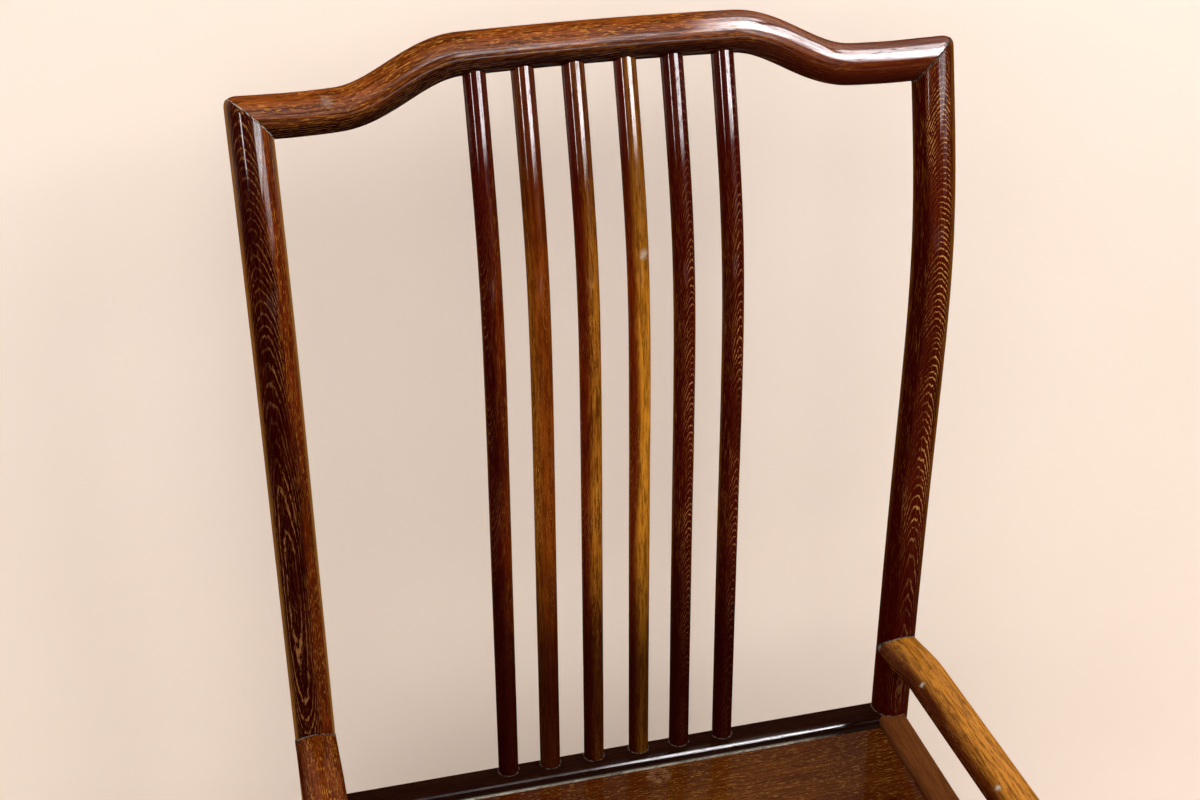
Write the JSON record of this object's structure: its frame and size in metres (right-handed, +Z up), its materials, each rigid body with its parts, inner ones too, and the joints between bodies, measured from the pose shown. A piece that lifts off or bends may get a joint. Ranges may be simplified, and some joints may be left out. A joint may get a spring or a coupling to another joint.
{
  "type": "comb-back armchair",
  "caption": "Dark hardwood armchair with a humped, bowed crest rail mitred onto round posts, a comb of round spindles, low round arms and a framed floating seat panel.",
  "frame": {"origin": "on the floor, below the middle of the chair's box", "axes": "+Z up, the sitter faces -Y, +X is to the right of someone who looks at the chair's front"},
  "size_m": [0.5778, 0.5334, 1.1177],
  "materials": {
    "dark_wood": "clear glossy varnish over dark figured hardwood, rubbed and dusty in the joints",
    "crest_wood": "clear glossy varnish over dark figured hardwood, rubbed and dusty in the joints",
    "golden_wood": "clear glossy varnish over dark figured hardwood, rubbed and dusty in the joints",
    "panel_wood": "clear glossy varnish over dark figured hardwood, rubbed and dusty in the joints",
    "spindle_dark_wood": "clear glossy varnish over dark figured hardwood, rubbed and dusty in the joints",
    "spindle_red_wood": "clear glossy varnish over dark figured hardwood, rubbed and dusty in the joints",
    "spindle_golden_wood": "clear glossy varnish over dark figured hardwood, rubbed and dusty in the joints"
  },
  "bodies": {
    "root": {"crest_rail": "crest_wood", "left_rear_post": "dark_wood", "right_rear_post": "dark_wood", "left_front_leg": "dark_wood", "right_front_leg": "dark_wood", "spindle_1": "spindle_dark_wood", "spindle_2": "spindle_red_wood", "spindle_3": "spindle_dark_wood", "spindle_4": "spindle_golden_wood", "spindle_5": "spindle_dark_wood", "spindle_6": "spindle_dark_wood", "left_arm": "golden_wood", "right_arm": "golden_wood", "rear_seat_rail": "dark_wood", "front_seat_rail": "dark_wood", "left_seat_rail": "dark_wood", "right_seat_rail": "dark_wood", "seat_panel": "panel_wood", "left_batten": "dark_wood", "right_batten": "dark_wood", "rear_apron": "dark_wood", "front_apron": "dark_wood", "left_apron": "dark_wood", "right_apron": "dark_wood", "rear_stretcher": "dark_wood", "left_stretcher": "dark_wood", "right_stretcher": "dark_wood", "footrest": "dark_wood"}
  },
  "joints": []
}
